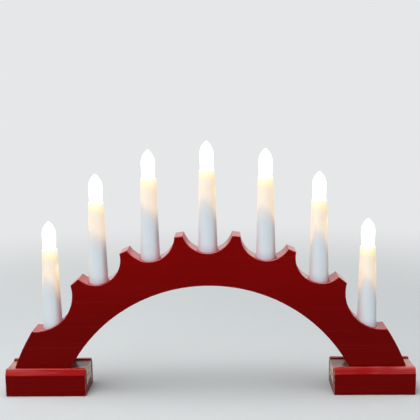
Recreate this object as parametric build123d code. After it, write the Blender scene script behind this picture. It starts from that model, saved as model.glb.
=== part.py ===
from build123d import *
import math
import os

# Candle arch: a scalloped wooden board on two built-up feet, carrying a row of electric candles.
# Millimetres. +X is to the right, +Y to the back, +Z up.
# The origin is on the table, under the middle of the arch.

# Arch board: two arcs about one centre below the table; the outer one meets the table at the feet's ends
overall_width = 400.0
arc_centre_drop = 46.0
rail_width = 50.7
board_thickness = 25.0
board_edge_ease = 0.6

# Scallops: five alike along the arc, and a larger one at each end.
# Their centres lie outside the outer arc, and their radii are shares of the chord between two centres.
scallop_centre_rise = 6.3
scallop_pitch_deg = 15.55
scallop_radius_share = 0.437
end_scallop_centre_rise = 18.3
end_scallop_angle_deg = 49.05
end_scallop_radius_share = 0.638

# Candle stations: how far each candle stands inside its scallop's centre, towards the middle
side_candle_count = 3
inner_candle_inset = 0.4
outer_candle_inset = 1.45
end_candle_inset = 13.8
seat_depth = 0.8
seat_side_clearance = 0.5

# Feet: a front and a back bar clamp the board's foot tab
foot_length = 79.0
foot_height = 27.0
tab_drop = 1.6
bar_thickness = 7.0
bar_bevel_height = 6.0
bar_bevel_depth = 3.0
bar_edge_ease = 0.5

# Foot screws, driven from behind
screw_end_distance = 10.0
screw_length = 36.0
screw_shank_radius = 1.7
screw_head_radius = 3.5
screw_head_height = 2.4
screw_point_length = 3.0

# Candle sleeve
sleeve_length = 80.0
sleeve_base_radius = 9.6
sleeve_top_radius = 7.5
sleeve_wall = 0.9

# Screw lamp, measured from its solder contact to its tip
lamp_length = 44.1
lamp_above_rim = 27.5
cap_radius = 4.76
cap_wall = 0.3
cap_shell_length = 9.0
insulator_height = 1.0
insulator_edge_radius = 4.5
insulator_foot_radius = 3.2
tip_contact_radius = 1.8
tip_contact_height = 1.0
glass_wall = 0.7
glass_neck_clearance = 0.1
glass_neck_depth = 6.0
glass_foot_thickness = 2.0
glass_rim_radius = 6.1
glass_belly_radius = 7.4
glass_belly_drop = 11.0
filament_wire_radius = 0.3
filament_wire_sides = 4
filament_lead_spacing = 3.2
filament_height = 22.0

# Lamp holder, inside the sleeve
holder_peg_radius = 5.0
holder_peg_length = 7.0
peg_fit = 0.05
holder_flange_height = 2.5
flange_side_clearance = 0.3
holder_stem_radius = 4.8
holder_cup_radius = 6.2
holder_cup_rim_drop = 6.5
holder_cup_length = 23.0
holder_shoulder_height = 3.0
holder_floor_thickness = 3.0
wire_bore_radius = 2.6
terminal_room_radius = 4.3
terminal_room_height = 5.0

# Screw shell and centre contact in the holder
cap_running_clearance = 0.08
shell_wall = 0.28
shell_seat_clearance = 0.04
shell_flange_width = 1.8
lug_width = 2.4
lug_thickness = 0.5
lug_offset = 3.4
lug_reach = 2.8
lug_level_step = 1.6
contact_height = 2.0
contact_top_radius = 1.4
contact_base_radius = 2.2
contact_gap = 0.1
rivet_radius = 1.2

# Wiring behind the board
wire_radius = 1.0
wire_sides = 6
riser_spacing = 2.5
lane_offset = 1.3
lane_inset = 3.0
groove_below_middle_seat = 12.7
groove_below_end_seat = 18.4
groove_width = 6.0
groove_floor_clearance = 0.3
riser_bend_radius = 4.0
lane_bend_radius = 3.5
lead_hole_clearance = 0.3

# Lead bush in the right back bar
bush_bore_radius = 3.2
bush_body_radius = 4.6
bush_flange_radius = 5.8
bush_flange_thickness = 1.4

# Staples across the groove
staple_wire = 0.8
staple_overhang = 1.5
staple_leg_length = 6.0

# One overrun serves all cuts
overrun = 1.0

# Cylinders, cones and boxes that stand on their base
standing = (Align.CENTER, Align.CENTER, Align.MIN)

# Places worked out from the sizes above
half_width = overall_width / 2
outer_arc_radius = math.hypot(half_width, arc_centre_drop)
inner_arc_radius = outer_arc_radius - rail_width
scallop_centre_radius = outer_arc_radius + scallop_centre_rise
end_scallop_centre_radius = outer_arc_radius + end_scallop_centre_rise
scallop_chord = 2 * scallop_centre_radius * math.sin(math.radians(scallop_pitch_deg / 2))
half_board = board_thickness / 2
half_depth = half_board + bar_thickness
tab_height = foot_height - tab_drop
foot_middle = half_width - foot_length / 2
seat_radius = sleeve_base_radius + seat_side_clearance
rim_to_tip_contact = lamp_length - lamp_above_rim
shell_inner_radius = cap_radius + cap_running_clearance
shell_outer_radius = shell_inner_radius + shell_wall
cup_bore_radius = shell_outer_radius + shell_seat_clearance
cup_top = sleeve_length - holder_cup_rim_drop
cup_bottom = cup_top - holder_cup_length
contact_level = sleeve_length - rim_to_tip_contact
cap_bottom = contact_level + tip_contact_height + insulator_height
cup_floor_top = contact_level - contact_gap - contact_height
cup_floor_bottom = cup_floor_top - holder_floor_thickness
upper_lug_level = cup_floor_bottom - lug_level_step
lower_lug_level = upper_lug_level - lug_level_step
lane_y = half_board - lane_inset
groove_floor_y = lane_y - wire_radius - groove_floor_clearance
foot_middle_z = foot_height / 2


def front_plane(y):
    # A plane facing the front, whose own x and y are the part's X and Z
    return Plane(origin=(0, y, 0), x_dir=(1, 0, 0), z_dir=(0, -1, 0))


def scallop(index):
    # Centre and radius of one scallop, counted from the middle, negative to the left
    side = -1 if index < 0 else 1
    if abs(index) == side_candle_count:
        angle = math.radians(side * end_scallop_angle_deg)
        reach, radius = end_scallop_centre_radius, end_scallop_radius_share * scallop_chord
    else:
        angle = math.radians(index * scallop_pitch_deg)
        reach, radius = scallop_centre_radius, scallop_radius_share * scallop_chord
    return reach * math.sin(angle), reach * math.cos(angle) - arc_centre_drop, radius


def candle_x(index):
    side = -1 if index < 0 else 1
    insets = [0, inner_candle_inset, outer_candle_inset, end_candle_inset]
    return scallop(index)[0] - side * insets[abs(index)]


def seat_z(index):
    # The spot-face lies just under the lowest wood that its circle meets
    x = candle_x(index)
    centre_x, centre_z, radius = scallop(index)
    lowest_x = min(max(centre_x, x - seat_radius), x + seat_radius)
    return centre_z - math.sqrt(radius**2 - (lowest_x - centre_x) ** 2) - seat_depth


stations = range(-side_candle_count, side_candle_count + 1)

# Wiring groove: the arc that passes at its depth under the middle seat and under both end seats
groove_reach = candle_x(side_candle_count)
groove_top = seat_z(0) - groove_below_middle_seat
groove_fall = groove_top - (seat_z(side_candle_count) - groove_below_end_seat)
groove_radius = (groove_reach**2 + groove_fall**2) / (2 * groove_fall)
groove_centre_z = groove_top - groove_radius


# Wiring route: every lane is an arc about the groove's centre, then a straight tail to the inlet
def riser_x(index, side):
    return candle_x(index) + side * riser_spacing / 2


def lane_angle(x, radius, heading):
    # Where a wire that leaves the hole at x joins its lane, going right (1) or left (-1)
    turn = math.atan(lane_bend_radius / radius)
    return math.asin(x / math.hypot(radius, lane_bend_radius)) + heading * turn


def lane_point(radius, angle, y):
    return Vector(radius * math.sin(angle), y, groove_centre_z + radius * math.cos(angle))


def lane_direction(angle):
    return Vector(math.cos(angle), 0, -math.sin(angle))


def hole_level(x, radius, heading):
    angle = lane_angle(x, radius, heading)
    return lane_point(radius, angle, lane_y).Z + heading * lane_bend_radius * math.sin(angle)


inner_lane = groove_radius - lane_offset
outer_lane = groove_radius + lane_offset
tail_angle = math.asin(groove_reach / groove_radius)
tail_start = lane_point(groove_radius, tail_angle, lane_y)
tail_direction = lane_direction(tail_angle)
tail_normal = Vector(math.sin(tail_angle), 0, math.cos(tail_angle))
tail_length = (tail_start.Z - foot_middle_z) / math.sin(tail_angle)
inlet = tail_start + tail_direction * tail_length


def quarter_bend(start, heading_in, heading_out, radius):
    # A quarter turn from one direction to another, square to it
    end = start + (heading_in + heading_out) * radius
    middle = start + heading_in * (radius * math.sin(math.pi / 4))
    middle += heading_out * (radius * (1 - math.cos(math.pi / 4)))
    return ThreePointArc(start, middle, end), end


def riser(x, top, level, heading):
    # Down from a terminal, back through the lead hole, and round into the lane
    down, back = Vector(0, 0, -1), Vector(0, 1, 0)
    first_bend = Vector(x, 0, level + riser_bend_radius)
    edges = [Line(Vector(x, 0, top), first_bend)]
    arc, corner = quarter_bend(first_bend, down, back, riser_bend_radius)
    edges.append(arc)
    second_bend = Vector(x, lane_y - lane_bend_radius, level)
    edges.append(Line(corner, second_bend))
    arc, lane_start = quarter_bend(second_bend, back, heading, lane_bend_radius)
    edges.append(arc)
    return edges, lane_start


def lane_arc(radius, start_angle, end_angle):
    middle_angle = (start_angle + end_angle) / 2
    angles = (start_angle, middle_angle, end_angle)
    return ThreePointArc(*[lane_point(radius, angle, lane_y) for angle in angles])


def insulated_wire(edges, start):
    # The wire starts with a straight run down from its terminal
    section = Plane(origin=start, z_dir=(0, 0, -1)) * RegularPolygon(wire_radius, wire_sides)
    return sweep(section, path=Wire(edges))


def series_link(index):
    # From the shell of one holder to the centre contact of the next
    start_x, end_x = riser_x(index, 1), riser_x(index + 1, -1)
    start_angle = lane_angle(start_x, inner_lane, 1)
    end_angle = lane_angle(end_x, inner_lane, -1)
    start_top = seat_z(index) + lower_lug_level
    end_top = seat_z(index + 1) + upper_lug_level
    down, _ = riser(start_x, start_top, hole_level(start_x, inner_lane, 1), lane_direction(start_angle))
    up, _ = riser(end_x, end_top, hole_level(end_x, inner_lane, -1), -lane_direction(end_angle))
    edges = down + [lane_arc(inner_lane, start_angle, end_angle)] + up
    return insulated_wire(edges, (start_x, 0, start_top))


def inlet_bend(start, lane_shift):
    # The last stretch of a core, down the tail and out to the back of the board
    bend_radius = half_board - lane_y
    bend_start = inlet - tail_direction * bend_radius + tail_normal * lane_shift
    arc, _ = quarter_bend(bend_start, tail_direction, Vector(0, 1, 0), bend_radius)
    return [Line(start, bend_start), arc]


def supply_level():
    # Height of the lead hole run of the core that joins the straight tail
    x = riser_x(side_candle_count, 1)
    join_x = x + lane_bend_radius * tail_direction.X
    origin = tail_start - tail_normal * lane_offset
    along = (join_x - origin.X) / tail_direction.X
    return (origin + tail_direction * along).Z - lane_bend_radius * tail_direction.Z


def supply_core():
    x = riser_x(side_candle_count, 1)
    top = seat_z(side_candle_count) + lower_lug_level
    edges, lane_start = riser(x, top, supply_level(), tail_direction)
    edges += inlet_bend(lane_start, -lane_offset)
    return insulated_wire(edges, (x, 0, top))


def return_core():
    first = -side_candle_count
    x = riser_x(first, -1)
    top = seat_z(first) + upper_lug_level
    start_angle = lane_angle(x, outer_lane, 1)
    edges, _ = riser(x, top, hole_level(x, outer_lane, 1), lane_direction(start_angle))
    edges.append(lane_arc(outer_lane, start_angle, tail_angle))
    edges += inlet_bend(lane_point(outer_lane, tail_angle, lane_y), lane_offset)
    return insulated_wire(edges, (x, 0, top))


def hole_levels(index):
    # The two wires' levels where they pass through the lead hole of one station
    left, right = riser_x(index, -1), riser_x(index, 1)
    left_level = hole_level(left, inner_lane, -1)
    right_level = hole_level(right, inner_lane, 1)
    if index == -side_candle_count:
        left_level = hole_level(left, outer_lane, 1)
    if index == side_candle_count:
        right_level = supply_level()
    return left_level, right_level


# Arch board
def board_outline():
    centre = Pos(0, -arc_centre_drop)
    ring = centre * (Circle(outer_arc_radius) - Circle(inner_arc_radius))
    above_tabs = Rectangle(2 * outer_arc_radius, outer_arc_radius, align=(Align.CENTER, Align.MIN))
    outline = ring & (Pos(0, tab_height / 2) * above_tabs)
    for side in (-1, 1):
        outline += Pos(side * foot_middle, tab_height / 2) * Rectangle(foot_length, tab_height)
    for index in stations:
        x, z, radius = scallop(index)
        outline -= Pos(x, z) * Circle(radius)
    return outline


def candle_pocket(index):
    # Spot-face for the sleeve, bore for the peg, and the lead hole from the groove
    x, seat = candle_x(index), seat_z(index)
    left_level, right_level = hole_levels(index)
    bore_bottom = min(left_level, right_level) - wire_radius - lead_hole_clearance
    bore_depth = seat - bore_bottom + overrun
    pocket = Pos(x, 0, seat) * Cylinder(seat_radius, outer_arc_radius - seat, align=standing)
    pocket += Pos(x, 0, bore_bottom) * Cylinder(holder_peg_radius + peg_fit, bore_depth, align=standing)
    floor_rise = groove_floor_y - lane_y + lane_bend_radius
    bend_reach = lane_bend_radius - math.sqrt((lane_bend_radius - wire_radius) ** 2 - floor_rise**2)
    hole_radius = math.hypot(riser_spacing, left_level - right_level) / 2 + bend_reach + lead_hole_clearance
    hole_plane = front_plane(half_board + overrun)
    lead_hole = hole_plane * Pos(x, (left_level + right_level) / 2) * Circle(hole_radius)
    return pocket + extrude(lead_hole, amount=half_board + overrun)


def wiring_groove():
    # An arc from the first station to the last, then a straight tail to the inlet
    half_groove = groove_width / 2
    outer, inner = groove_radius + half_groove, groove_radius - half_groove
    band = Pos(0, groove_centre_z) * (Circle(outer) - Circle(inner))
    above_ends = Rectangle(2 * outer, outer, align=(Align.CENTER, Align.MIN))
    band &= Pos(0, tail_start.Z) * above_ends
    for side in (-1, 1):
        band += Pos(side * groove_reach, tail_start.Z) * Circle(half_groove)
    tail_middle = tail_start + tail_direction * (tail_length / 2)
    tail = Rot(0, 0, -math.degrees(tail_angle)) * SlotCenterToCenter(tail_length, groove_width)
    band += Pos(tail_middle.X, tail_middle.Z) * tail
    floor = front_plane(groove_floor_y)
    return extrude(floor * band, amount=-(half_board - groove_floor_y + overrun))


def arch_board():
    board = extrude(front_plane(0) * board_outline(), amount=half_board, both=True)
    rims = board.edges().filter_by(lambda edge: abs(abs(edge.center().Y) - half_board) < board_edge_ease)
    board = chamfer(rims, board_edge_ease)
    for index in stations:
        board -= candle_pocket(index)
    return board - wiring_groove() - wire_staples() - foot_screws()


# Feet
def bar_solid(side, face):
    # face is -1 for the front bar and 1 for the back bar; the bevel is on the outer top edge
    inner, outer = face * half_board, face * half_depth
    profile = Polyline(
        (inner, 0),
        (outer, 0),
        (outer, foot_height - bar_bevel_height),
        (outer - face * bar_bevel_depth, foot_height),
        (inner, foot_height),
        close=True,
    )
    start = side * foot_middle - foot_length / 2
    section = Plane(origin=(start, 0, 0), x_dir=(0, 1, 0), z_dir=(1, 0, 0)) * make_face(profile)
    bar = extrude(section, amount=foot_length)
    return chamfer(bar.edges(), bar_edge_ease)


def foot_bar(side, face):
    bar = bar_solid(side, face) - foot_screws()
    if side > 0 and face > 0:
        bar -= bush_envelope()
    return bar


def foot_screw(x):
    rear = half_depth
    head_end = rear - screw_head_height
    point = rear - screw_length
    outline = Polyline(
        (0, rear),
        (screw_head_radius, rear),
        (screw_shank_radius, head_end),
        (screw_shank_radius, point + screw_point_length),
        (0, point),
        close=True,
    )
    return Pos(x, 0, foot_middle_z) * revolve(make_face(outline), axis=Axis.Y)


def foot_screws():
    reach = foot_length / 2 - screw_end_distance
    middles = [side * foot_middle for side in (-1, 1)]
    return Compound([foot_screw(middle + end * reach) for middle in middles for end in (-1, 1)])


# Candle sleeve
def sleeve_radius(height):
    share = height / sleeve_length
    return sleeve_base_radius + (sleeve_top_radius - sleeve_base_radius) * share


def candle_sleeve(index):
    outline = Polyline(
        (sleeve_base_radius - sleeve_wall, 0),
        (sleeve_base_radius, 0),
        (sleeve_top_radius, sleeve_length),
        (sleeve_top_radius - sleeve_wall, sleeve_length),
        close=True,
    )
    return Pos(candle_x(index), 0, seat_z(index)) * revolve(Plane.XZ * make_face(outline), axis=Axis.Z)


# Screw lamp
def touch_angle(x, z, side):
    # Where a straight line from the point (x, z), taken from the belly's centre, touches the belly's circle
    return math.atan2(z, x) + side * math.acos(glass_belly_radius / math.hypot(x, z))


def glass_outline(inset):
    # Half section of the envelope: neck, flare, tapered flank, round belly and straight-sided tip
    belly_z = sleeve_length + lamp_above_rim - glass_belly_drop
    low_angle = touch_angle(glass_rim_radius, sleeve_length - belly_z, 1)
    high_angle = touch_angle(0, glass_belly_drop, -1)
    belly = glass_belly_radius - inset
    angles = (low_angle, 0, high_angle)
    low, widest, high = [(belly * math.cos(angle), belly_z + belly * math.sin(angle)) for angle in angles]
    tip = belly_z + belly / math.sin(high_angle)
    rim = glass_rim_radius - inset / math.cos(low_angle)
    neck = cap_radius - cap_wall - glass_neck_clearance - inset
    cap_top = cap_bottom + cap_shell_length
    bottom = cap_top - glass_neck_depth + (glass_foot_thickness if inset else 0)
    lower = Polyline((0, tip), (0, bottom), (neck, bottom), (neck, cap_top), (rim, sleeve_length), low)
    return make_face([lower, ThreePointArc(low, widest, high), Line(high, (0, tip))])


def lamp_glass(index):
    outside = revolve(Plane.XZ * glass_outline(0), axis=Axis.Z)
    inside = revolve(Plane.XZ * glass_outline(glass_wall), axis=Axis.Z)
    return Pos(candle_x(index), 0, seat_z(index)) * (outside - inside)


def lamp_cap(index):
    # The screw shell of the lamp, its insulator and its solder contact
    inner = cap_radius - cap_wall
    shell = Cylinder(cap_radius, cap_shell_length, align=standing)
    shell -= Pos(0, 0, cap_wall) * Cylinder(inner, cap_shell_length, align=standing)
    insulator = Cone(insulator_foot_radius, insulator_edge_radius, insulator_height, align=standing)
    contact = Cylinder(tip_contact_radius, tip_contact_height, align=standing)
    pieces = [
        Pos(0, 0, cap_bottom) * shell,
        Pos(0, 0, cap_bottom - insulator_height) * insulator,
        Pos(0, 0, contact_level) * contact,
    ]
    return Pos(candle_x(index), 0, seat_z(index)) * Compound(pieces)


def lamp_filament(index):
    # Two leads that stand on the glass foot, joined by the filament's bow
    half_spacing = filament_lead_spacing / 2
    bottom = cap_bottom + cap_shell_length - glass_neck_depth + glass_foot_thickness
    top = bottom + filament_height
    left, right = (-half_spacing, 0, bottom), (half_spacing, 0, bottom)
    bow = ThreePointArc((-half_spacing, 0, top), (0, 0, top + half_spacing), (half_spacing, 0, top))
    path = Wire([Line(left, (-half_spacing, 0, top)), bow, Line((half_spacing, 0, top), right)])
    section = RegularPolygon(filament_wire_radius, filament_wire_sides)
    wire = sweep(Plane(origin=left, z_dir=(0, 0, 1)) * section, path=path)
    return Pos(candle_x(index), 0, seat_z(index)) * wire


# Lamp holder and its metal parts
def holder_outline():
    flange_radius = sleeve_radius(holder_flange_height) - sleeve_wall - flange_side_clearance
    return Polyline(
        (0, -holder_peg_length),
        (holder_peg_radius, -holder_peg_length),
        (holder_peg_radius, 0),
        (flange_radius, 0),
        (flange_radius, holder_flange_height),
        (holder_stem_radius, holder_flange_height),
        (holder_stem_radius, cup_bottom - holder_shoulder_height),
        (holder_cup_radius, cup_bottom),
        (holder_cup_radius, cup_top),
        (0, cup_top),
        close=True,
    )


def holder_bores():
    # Wire bore, terminal room and cup, with the holder's floor between the last two
    room_bottom = cup_floor_bottom - terminal_room_height
    lower = Polyline(
        (0, -holder_peg_length - overrun),
        (wire_bore_radius, -holder_peg_length - overrun),
        (wire_bore_radius, room_bottom - (terminal_room_radius - wire_bore_radius)),
        (terminal_room_radius, room_bottom),
        (terminal_room_radius, cup_floor_bottom),
        (0, cup_floor_bottom),
        close=True,
    )
    bores = revolve(Plane.XZ * make_face(lower), axis=Axis.Z)
    cup_depth = cup_top - cup_floor_top + overrun
    bores += Pos(0, 0, cup_floor_top) * Cylinder(cup_bore_radius, cup_depth, align=standing)
    bores += Pos(0, 0, cup_floor_bottom) * Cylinder(rivet_radius, holder_floor_thickness, align=standing)
    slot = Box(lug_thickness, lug_width, holder_floor_thickness, align=standing)
    return bores + Pos(lug_offset, 0, cup_floor_bottom) * slot


def lamp_holder(index):
    body = revolve(Plane.XZ * make_face(holder_outline()), axis=Axis.Z) - holder_bores()
    return Pos(candle_x(index), 0, seat_z(index)) * body


def lug_foot(level, start, reach):
    # A flat solder foot, reaching inwards from start
    foot = Box(reach, lug_width, lug_thickness, align=(Align.MIN, Align.CENTER, Align.MIN))
    return Pos(start, 0, level) * foot


def screw_shell(index):
    # Rolled shell with a flange on the holder's floor and a lug through it
    height = cup_top - cup_floor_top
    shell = Cylinder(shell_outer_radius, height, align=standing)
    shell -= Cylinder(shell_inner_radius, height + overrun, align=standing)
    ring = Cylinder(shell_outer_radius, shell_wall, align=standing)
    ring -= Cylinder(shell_outer_radius - shell_flange_width, shell_wall, align=standing)
    body = Pos(0, 0, cup_floor_top) * (shell + ring)
    lug_height = cup_floor_top - lower_lug_level + shell_wall
    body += Pos(lug_offset, 0, lower_lug_level) * Box(lug_thickness, lug_width, lug_height, align=standing)
    body += lug_foot(lower_lug_level, lug_offset + lug_thickness / 2 - lug_reach, lug_reach)
    return Pos(candle_x(index), 0, seat_z(index)) * body


def centre_contact(index):
    # Button in the cup, riveted through the floor to its own lug
    button = Cone(contact_base_radius, contact_top_radius, contact_height, align=standing)
    contact = Pos(0, 0, cup_floor_top) * button
    rivet_length = cup_floor_top - upper_lug_level
    contact += Pos(0, 0, upper_lug_level) * Cylinder(rivet_radius, rivet_length, align=standing)
    contact += lug_foot(upper_lug_level, rivet_radius / 2 - lug_reach, lug_reach)
    return Pos(candle_x(index), 0, seat_z(index)) * contact


# Lead bush
def bush_envelope():
    # The bush without its bore, which is also what is cut from the bar
    body = Circle(bush_body_radius)
    flange = Circle(bush_flange_radius)
    place = Pos(inlet.X, inlet.Z)
    outside = extrude(front_plane(half_depth) * place * body, amount=bar_thickness)
    return outside + extrude(front_plane(half_depth) * place * flange, amount=bush_flange_thickness)


def lead_bush():
    bore = front_plane(half_depth + overrun) * Pos(inlet.X, inlet.Z) * Circle(bush_bore_radius)
    return bush_envelope() - extrude(bore, amount=bar_thickness + 2 * overrun)


# Staples
def wire_staple(place, direction):
    # A crown across the groove on the board's back, with two legs in the wood
    span = groove_width + 2 * staple_overhang
    hanging = (Align.CENTER, Align.MAX)
    outside = Pos(0, staple_wire) * Rectangle(span, staple_leg_length + staple_wire, align=hanging)
    inside = Rectangle(span - 2 * staple_wire, staple_leg_length, align=hanging)
    frame = Plane(origin=place, x_dir=Vector(direction.Z, 0, -direction.X), z_dir=direction)
    return extrude(frame * (outside - inside), amount=staple_wire / 2, both=True)


def wire_staples():
    staples = []
    for index in stations[:-1]:
        angles = [math.asin(candle_x(i) / groove_radius) for i in (index, index + 1)]
        angle = sum(angles) / 2
        place = lane_point(groove_radius, angle, half_board)
        staples.append(wire_staple(place, lane_direction(angle)))
    return Compound(staples)


# Write one file for each piece
def write_piece(name, shape):
    shape.label = name
    export_step(shape, f"parts/{name}.step")
    print(name, round(shape.volume, 1))


os.makedirs("parts", exist_ok=True)
write_piece("arch_board", arch_board())
for side, side_name in ((-1, "left"), (1, "right")):
    for face, face_name in ((-1, "front"), (1, "back")):
        write_piece(f"{face_name}_bar_{side_name}", foot_bar(side, face))
write_piece("foot_screws", foot_screws())
write_piece("lead_bush", lead_bush())
write_piece("wire_staples", wire_staples())
write_piece("centre_contacts", Compound([centre_contact(index) for index in stations]))
write_piece("supply_core", supply_core())
write_piece("return_core", return_core())
for number, index in enumerate(stations, 1):
    write_piece(f"candle_sleeve_{number}", candle_sleeve(index))
    write_piece(f"lamp_glass_{number}", lamp_glass(index))
    write_piece(f"lamp_cap_{number}", lamp_cap(index))
    write_piece(f"lamp_filament_{number}", lamp_filament(index))
    write_piece(f"lamp_holder_{number}", lamp_holder(index))
    write_piece(f"screw_shell_{number}", screw_shell(index))
    if index < side_candle_count:
        write_piece(f"series_link_{number}", series_link(index))
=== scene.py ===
import bpy
import bmesh
import math
from mathutils import Matrix, Vector


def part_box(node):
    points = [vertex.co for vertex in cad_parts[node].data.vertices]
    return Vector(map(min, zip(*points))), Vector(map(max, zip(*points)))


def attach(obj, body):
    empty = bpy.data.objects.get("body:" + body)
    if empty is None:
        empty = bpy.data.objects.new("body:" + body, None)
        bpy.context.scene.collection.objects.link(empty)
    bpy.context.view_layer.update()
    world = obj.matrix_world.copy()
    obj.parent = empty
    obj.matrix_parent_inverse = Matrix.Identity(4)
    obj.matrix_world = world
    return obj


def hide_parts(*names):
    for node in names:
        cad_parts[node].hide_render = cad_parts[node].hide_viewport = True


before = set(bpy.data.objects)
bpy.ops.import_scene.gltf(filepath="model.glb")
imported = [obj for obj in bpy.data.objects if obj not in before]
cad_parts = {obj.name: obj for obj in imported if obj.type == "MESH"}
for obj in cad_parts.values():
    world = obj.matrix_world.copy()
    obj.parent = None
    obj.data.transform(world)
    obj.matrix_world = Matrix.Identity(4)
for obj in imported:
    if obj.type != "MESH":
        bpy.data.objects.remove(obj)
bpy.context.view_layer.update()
print("frame loaded,", len(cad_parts), "nodes")

mm = 0.001
fullTurn = 2 * math.pi


# node maths written as plain expressions

def mathNode(operation, swapped=False):
    def apply(self, other=0.0):
        return self.bench.maths(operation, *((other, self) if swapped else (self, other)))
    return apply


class Signal:
    # one output socket; the operators add Math nodes
    __add__ = __radd__ = mathNode("ADD")
    __mul__ = __rmul__ = mathNode("MULTIPLY")
    __sub__, __rsub__ = mathNode("SUBTRACT"), mathNode("SUBTRACT", swapped=True)
    __truediv__, __abs__ = mathNode("DIVIDE"), mathNode("ABSOLUTE")

    def __init__(self, bench, socket):
        self.bench, self.socket = bench, socket

    def sister(self, name):
        # another output of the same node
        return Signal(self.bench, self.socket.node.outputs[name])

    def axis(self, name):
        return self.bench.add("ShaderNodeSeparateXYZ", {0: self}, name)

    def fade(self, low, high):
        # a smooth rise from 0 at low to 1 at high; it falls where low is above high
        feeds = {"Value": self, "From Min": low, "From Max": high}
        return self.bench.add("ShaderNodeMapRange", feeds, interpolation_type="SMOOTHSTEP")


class Bench:
    # a node tree of a material, the world or Geometry Nodes
    def __init__(self, tree):
        self.tree = tree

    def add(self, kind, feeds=None, out=0, **settings):
        node = self.tree.nodes.new(kind)
        for name, value in settings.items():
            setattr(node, name, value)
        for key, value in (feeds or {}).items():
            if isinstance(value, Signal):
                self.tree.links.new(value.socket, node.inputs[key])
            else:
                node.inputs[key].default_value = value
        return Signal(self, node.outputs[out]) if len(node.outputs) else None

    def maths(self, operation, first, second=0.0):
        return self.add("ShaderNodeMath", {0: first, 1: second}, operation=operation)

    def mixColour(self, share, first, second):
        return self.add("ShaderNodeMix", {0: share, 6: first, 7: second}, 2, data_type="RGBA")

    def place(self):
        return self.add("ShaderNodeTexCoord", out="Object")

    def mapped(self, vector, scale=(1, 1, 1), shift=(0, 0, 0)):
        return self.add("ShaderNodeMapping", {"Vector": vector, "Scale": scale, "Location": shift})

    def noise(self, vector, scale, detail=2.0, roughness=0.5):
        # three scales, one for each axis, stretch it
        if isinstance(scale, tuple):
            vector, scale = self.mapped(vector, scale), 1.0
        feeds = {"Vector": vector, "Scale": scale, "Detail": detail, "Roughness": roughness}
        return self.add("ShaderNodeTexNoise", feeds)

    def patches(self, vector, noise, limits):
        return self.noise(vector, *noise).fade(*limits)

    def bump(self, height, strength, distance):
        feeds = {"Height": height, "Strength": strength, "Distance": distance}
        return self.add("ShaderNodeBump", feeds)

    def finishSurface(self, **feeds):
        named = {key.replace("_", " "): value for key, value in feeds.items()}
        surface = self.add("ShaderNodeBsdfPrincipled", named)
        self.add("ShaderNodeOutputMaterial", {"Surface": surface})


def weighted(masks, shares, start=0.0):
    # the sum of the named masks, each times its share
    total = start
    for name, share in shares.items():
        total = total + masks[name] * share
    return total


def rgb(red, green, blue):
    # 8-bit screen colour to the linear values that the sockets take
    def linear(value):
        share = value / 255
        return share / 12.92 if share <= 0.04045 else ((share + 0.055) / 1.055) ** 2.4
    return (linear(red), linear(green), linear(blue), 1.0)


def withNodes(block, recipe, *values):
    # gives a material or the world the nodes of its recipe
    block.use_nodes = True
    block.node_tree.nodes.clear()
    recipe(Bench(block.node_tree), *values)
    return block


# finishes

# a noise is given as waves per metre, detail and roughness; any other pair says where a mask rises
# from 0 to 1 or, turned round, falls, and patches have both
wear = {
    "edgeReach": 0.9 * mm, "edgeSamples": 4, "edge": (0.015, 0.16), "chipNoise": (170, 4, 0.7),
    "chipShift": (0.37, 0.11, 0.23), "chips": (0.565, 0.60), "footChips": 0.035, "endChips": 0.10,
    "thinNoise": (60, 3), "thin": (0.34, 0.62), "inFoot": (28.0 * mm, 27.5 * mm),
    "nearEnd": (135.0 * mm, 123.0 * mm), "level": (0.9, 0.99), "overTab": (23.0 * mm, 23.5 * mm),
    "underBars": (26.5 * mm, 26.0 * mm), "dust": (((60, 140, 60), 4), (0.2, 0.6)),
    "inward": (102.85 * mm, 114.95 * mm), "inBoard": (12.5 * mm, 12.3 * mm),
    "underTop": (25.7 * mm, 25.5 * mm), "raggedNoise": ((1, 150, 150), 4),
    "raggedHeight": 14.0 * mm, "bareFrom": (9.5 * mm, 10.1 * mm),
}


def edgeWear(bench, place, height, facing):
    # chips down to the primer, most at the feet's inner ends, and thin paint along the edges
    rounded = bench.add("ShaderNodeBevel", {"Radius": wear["edgeReach"]}, samples=wear["edgeSamples"])
    alike = bench.add("ShaderNodeVectorMath", {0: facing, 1: rounded}, "Value", operation="DOT_PRODUCT")
    edge = (1.0 - alike).fade(*wear["edge"])
    inFoot = height.fade(*wear["inFoot"])
    nearEnd = inFoot * abs(height.sister("X")).fade(*wear["nearEnd"])
    speckle = bench.noise(bench.mapped(place, shift=wear["chipShift"]), *wear["chipNoise"])
    chips = speckle + nearEnd * wear["endChips"] + inFoot * wear["footChips"]
    thin = edge * bench.noise(place, *wear["thinNoise"])
    return (edge * chips).fade(*wear["chips"]), thin.fade(*wear["thin"])


def tabWear(bench, place, height, level):
    # the tabs' tops between the bars with pale patches of dust and painted reflection, and the inner ends,
    # bare down to a ragged line
    top = level.fade(*wear["level"]) * height.fade(*wear["overTab"]) * height.fade(*wear["underBars"])
    dust = top * bench.patches(place, *wear["dust"])
    end = (level.sister("X") * height.sister("X") * -1.0).fade(*wear["inward"])
    end = end * abs(height.sister("Y")).fade(*wear["inBoard"]) * height.fade(*wear["underTop"])
    ragged = bench.noise(place, *wear["raggedNoise"])
    end = end * (height + (ragged - 0.5) * wear["raggedHeight"]).fade(*wear["bareFrom"])
    return top, dust, end, ragged


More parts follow.
